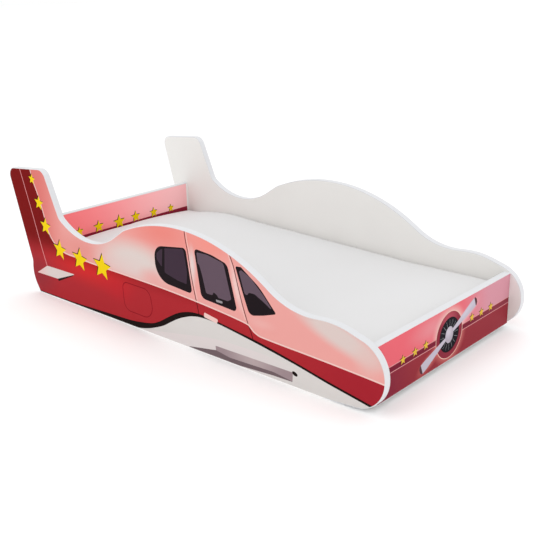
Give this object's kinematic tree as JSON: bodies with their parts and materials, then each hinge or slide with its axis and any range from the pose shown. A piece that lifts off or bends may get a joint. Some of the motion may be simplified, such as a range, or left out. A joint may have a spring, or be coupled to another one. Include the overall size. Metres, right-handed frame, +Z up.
{
  "type": "airplane bed",
  "caption": "Low child's bed with plane-shaped side panels, tail fins, rounded nose, slat base and a white mattress; red and pink livery with stars, windows and a propeller.",
  "frame": {"origin": "on the floor, under the middle of the bed's overall length and width", "axes": "+X along the bed towards the nose and its propeller, +Y from the left side panel to the right one, +Z up"},
  "size_m": [1.6038, 0.7446, 0.4564],
  "materials": {
    "white_board": "satin",
    "white_edging": "satin",
    "side_print": "satin",
    "tail_print": "satin",
    "front_print": "satin",
    "pine": "matte",
    "beech": "matte",
    "zinc_plated_steel": "satin",
    "zinc_diecast": "satin",
    "white_plastic": "satin",
    "woven_tape": "matte",
    "mattress_fabric": "matte",
    "foam": "matte"
  },
  "bodies": {
    "bed_frame": {"cam_bolts": "zinc_plated_steel", "cam_caps": "white_plastic", "cam_locks": "zinc_diecast", "front_board": "white_board", "front_edge_bands": "white_edging", "front_printed_film": "front_print", "left_edge_band": "white_edging", "left_printed_film": "side_print", "left_side_panel": "white_board", "left_slat_rail": "pine", "rail_screws": "zinc_plated_steel", "right_edge_band": "white_edging", "right_printed_film": "side_print", "right_side_panel": "white_board", "right_slat_rail": "pine", "slat_01": "pine", "slat_02": "pine", "slat_03": "pine", "slat_04": "pine", "slat_05": "pine", "slat_06": "pine", "slat_07": "pine", "slat_08": "pine", "slat_09": "pine", "slat_10": "pine", "slat_11": "pine", "slat_12": "pine", "slat_13": "pine", "slat_screws": "zinc_plated_steel", "slat_tapes": "woven_tape", "tail_board": "white_board", "tail_edge_bands": "white_edging", "tail_printed_film": "tail_print", "wood_dowels": "beech"},
    "mattress": {"mattress_cover": "mattress_fabric", "mattress_core": "foam"}
  },
  "joints": [
    {"name": "mattress_lift", "type": "slide", "parent": "bed_frame", "child": "mattress", "axis": [0, 0, 1], "range_m": [0, 0.4]}
  ]
}
